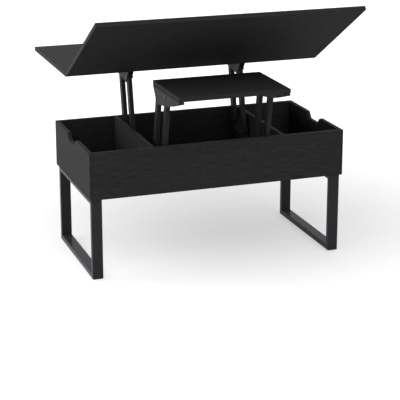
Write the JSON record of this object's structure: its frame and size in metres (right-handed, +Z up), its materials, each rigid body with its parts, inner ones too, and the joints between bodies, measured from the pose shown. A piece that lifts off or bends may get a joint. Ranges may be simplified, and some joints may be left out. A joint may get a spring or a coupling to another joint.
{
  "type": "lift top coffee table",
  "caption": "Lift top coffee table: black wood-grain storage box on steel leg loops, with a folding top on lift arms and a small inner table that lifts toward the sitter.",
  "frame": {"origin": "on the floor, under the middle of the raised table's bounding box", "axes": "+X along the table to the right as seen from the front, +Y from the front panel to the back panel, +Z up"},
  "size_m": [1, 0.9528, 0.9781],
  "materials": {
    "black_woodgrain_board": "black wood-grain foil on board, satin",
    "black_powder_coat": "satin black powder coat",
    "black_lift_steel": "black painted sheet steel with a slight sheen",
    "black_rivet_steel": "blackened rivets",
    "brass": "polished brass plating",
    "black_plastic": "matt black plastic"
  },
  "bodies": {
    "base": {"front_panel": "black_woodgrain_board", "back_panel": "black_woodgrain_board", "floor_panel": "black_woodgrain_board", "left_side_panel": "black_woodgrain_board", "right_side_panel": "black_woodgrain_board", "left_divider": "black_woodgrain_board", "right_divider": "black_woodgrain_board", "left_leg_loop": "black_powder_coat", "right_leg_loop": "black_powder_coat", "left_front_glide": "black_plastic", "left_rear_glide": "black_plastic", "right_front_glide": "black_plastic", "right_rear_glide": "black_plastic", "main_base_bracket_left": "black_lift_steel", "main_base_bracket_right": "black_lift_steel", "small_base_bracket_left": "black_lift_steel", "small_base_bracket_right": "black_lift_steel", "main_front_lower_pin_left": "black_rivet_steel", "main_front_lower_pin_right": "black_rivet_steel", "main_rear_lower_pin_left": "black_rivet_steel", "main_rear_lower_pin_right": "black_rivet_steel", "small_front_lower_pin_left": "black_rivet_steel", "small_front_lower_pin_right": "black_rivet_steel", "small_rear_lower_pin_left": "black_rivet_steel", "small_rear_lower_pin_right": "black_rivet_steel"},
    "main_front_arms": {"main_front_arm_left": "black_lift_steel", "main_front_arm_right": "black_lift_steel"},
    "main_rear_arms": {"main_rear_arm_left": "black_lift_steel", "main_rear_arm_right": "black_lift_steel"},
    "main_top": {"rear_leaf": "black_woodgrain_board", "main_top_bracket_left": "black_lift_steel", "main_top_bracket_right": "black_lift_steel", "main_front_upper_pin_left": "black_rivet_steel", "main_front_upper_pin_right": "black_rivet_steel", "main_rear_upper_pin_left": "black_rivet_steel", "main_rear_upper_pin_right": "black_rivet_steel", "hinge_1_rear_half": "brass", "hinge_2_rear_half": "brass", "hinge_3_rear_half": "brass", "hinge_4_rear_half": "brass", "hinge_5_rear_half": "brass"},
    "folding_leaf": {"folding_leaf": "black_woodgrain_board", "hinge_1_leaf_half": "brass", "hinge_2_leaf_half": "brass", "hinge_3_leaf_half": "brass", "hinge_4_leaf_half": "brass", "hinge_5_leaf_half": "brass"},
    "small_rear_arms": {"small_rear_arm_left": "black_lift_steel", "small_rear_arm_right": "black_lift_steel"},
    "small_front_arms": {"small_front_arm_left": "black_lift_steel", "small_front_arm_right": "black_lift_steel"},
    "small_top": {"small_top": "black_woodgrain_board", "small_top_bracket_left": "black_lift_steel", "small_top_bracket_right": "black_lift_steel", "small_front_upper_pin_left": "black_rivet_steel", "small_front_upper_pin_right": "black_rivet_steel", "small_rear_upper_pin_left": "black_rivet_steel", "small_rear_upper_pin_right": "black_rivet_steel"}
  },
  "joints": [
    {"name": "main_lift", "type": "hinge", "parent": "base", "child": "main_front_arms", "pos_m": [0, 0.02315, 0.41568], "axis": [1, 0, 0], "range_deg": [0, 95.5]},
    {"name": "main_rear_arm_swing", "type": "hinge", "parent": "base", "child": "main_rear_arms", "pos_m": [0, 0.12715, 0.44168], "axis": [1, 0, 0], "range_deg": [0, 95.5]},
    {"name": "main_top_level", "type": "hinge", "parent": "main_front_arms", "child": "main_top", "pos_m": [0, 0.07239, 0.65772], "axis": [1, 0, 0], "range_deg": [-95.5, 0]},
    {"name": "leaf_fold", "type": "hinge", "parent": "main_top", "child": "folding_leaf", "pos_m": [0, -0.02811, 0.71702], "axis": [-1, 0, 0], "range_deg": [-31.2, 148.8]},
    {"name": "small_lift", "type": "hinge", "parent": "base", "child": "small_rear_arms", "pos_m": [0, -0.16415, 0.39818], "axis": [1, 0, 0], "range_deg": [-95.5, 0]},
    {"name": "small_front_arm_swing", "type": "hinge", "parent": "base", "child": "small_front_arms", "pos_m": [0, -0.26815, 0.42418], "axis": [1, 0, 0], "range_deg": [-95.5, 0]},
    {"name": "small_top_level", "type": "hinge", "parent": "small_rear_arms", "child": "small_top", "pos_m": [0, -0.21339, 0.64022], "axis": [1, 0, 0], "range_deg": [0, 95.5]}
  ],
  "couplings": [
    {"joint": "main_rear_arm_swing", "follows": "main_lift", "ratio": 1},
    {"joint": "main_top_level", "follows": "main_lift", "ratio": -1},
    {"joint": "small_lift", "follows": "main_lift", "ratio": -1},
    {"joint": "small_front_arm_swing", "follows": "main_lift", "ratio": -1},
    {"joint": "small_top_level", "follows": "main_lift", "ratio": 1}
  ]
}
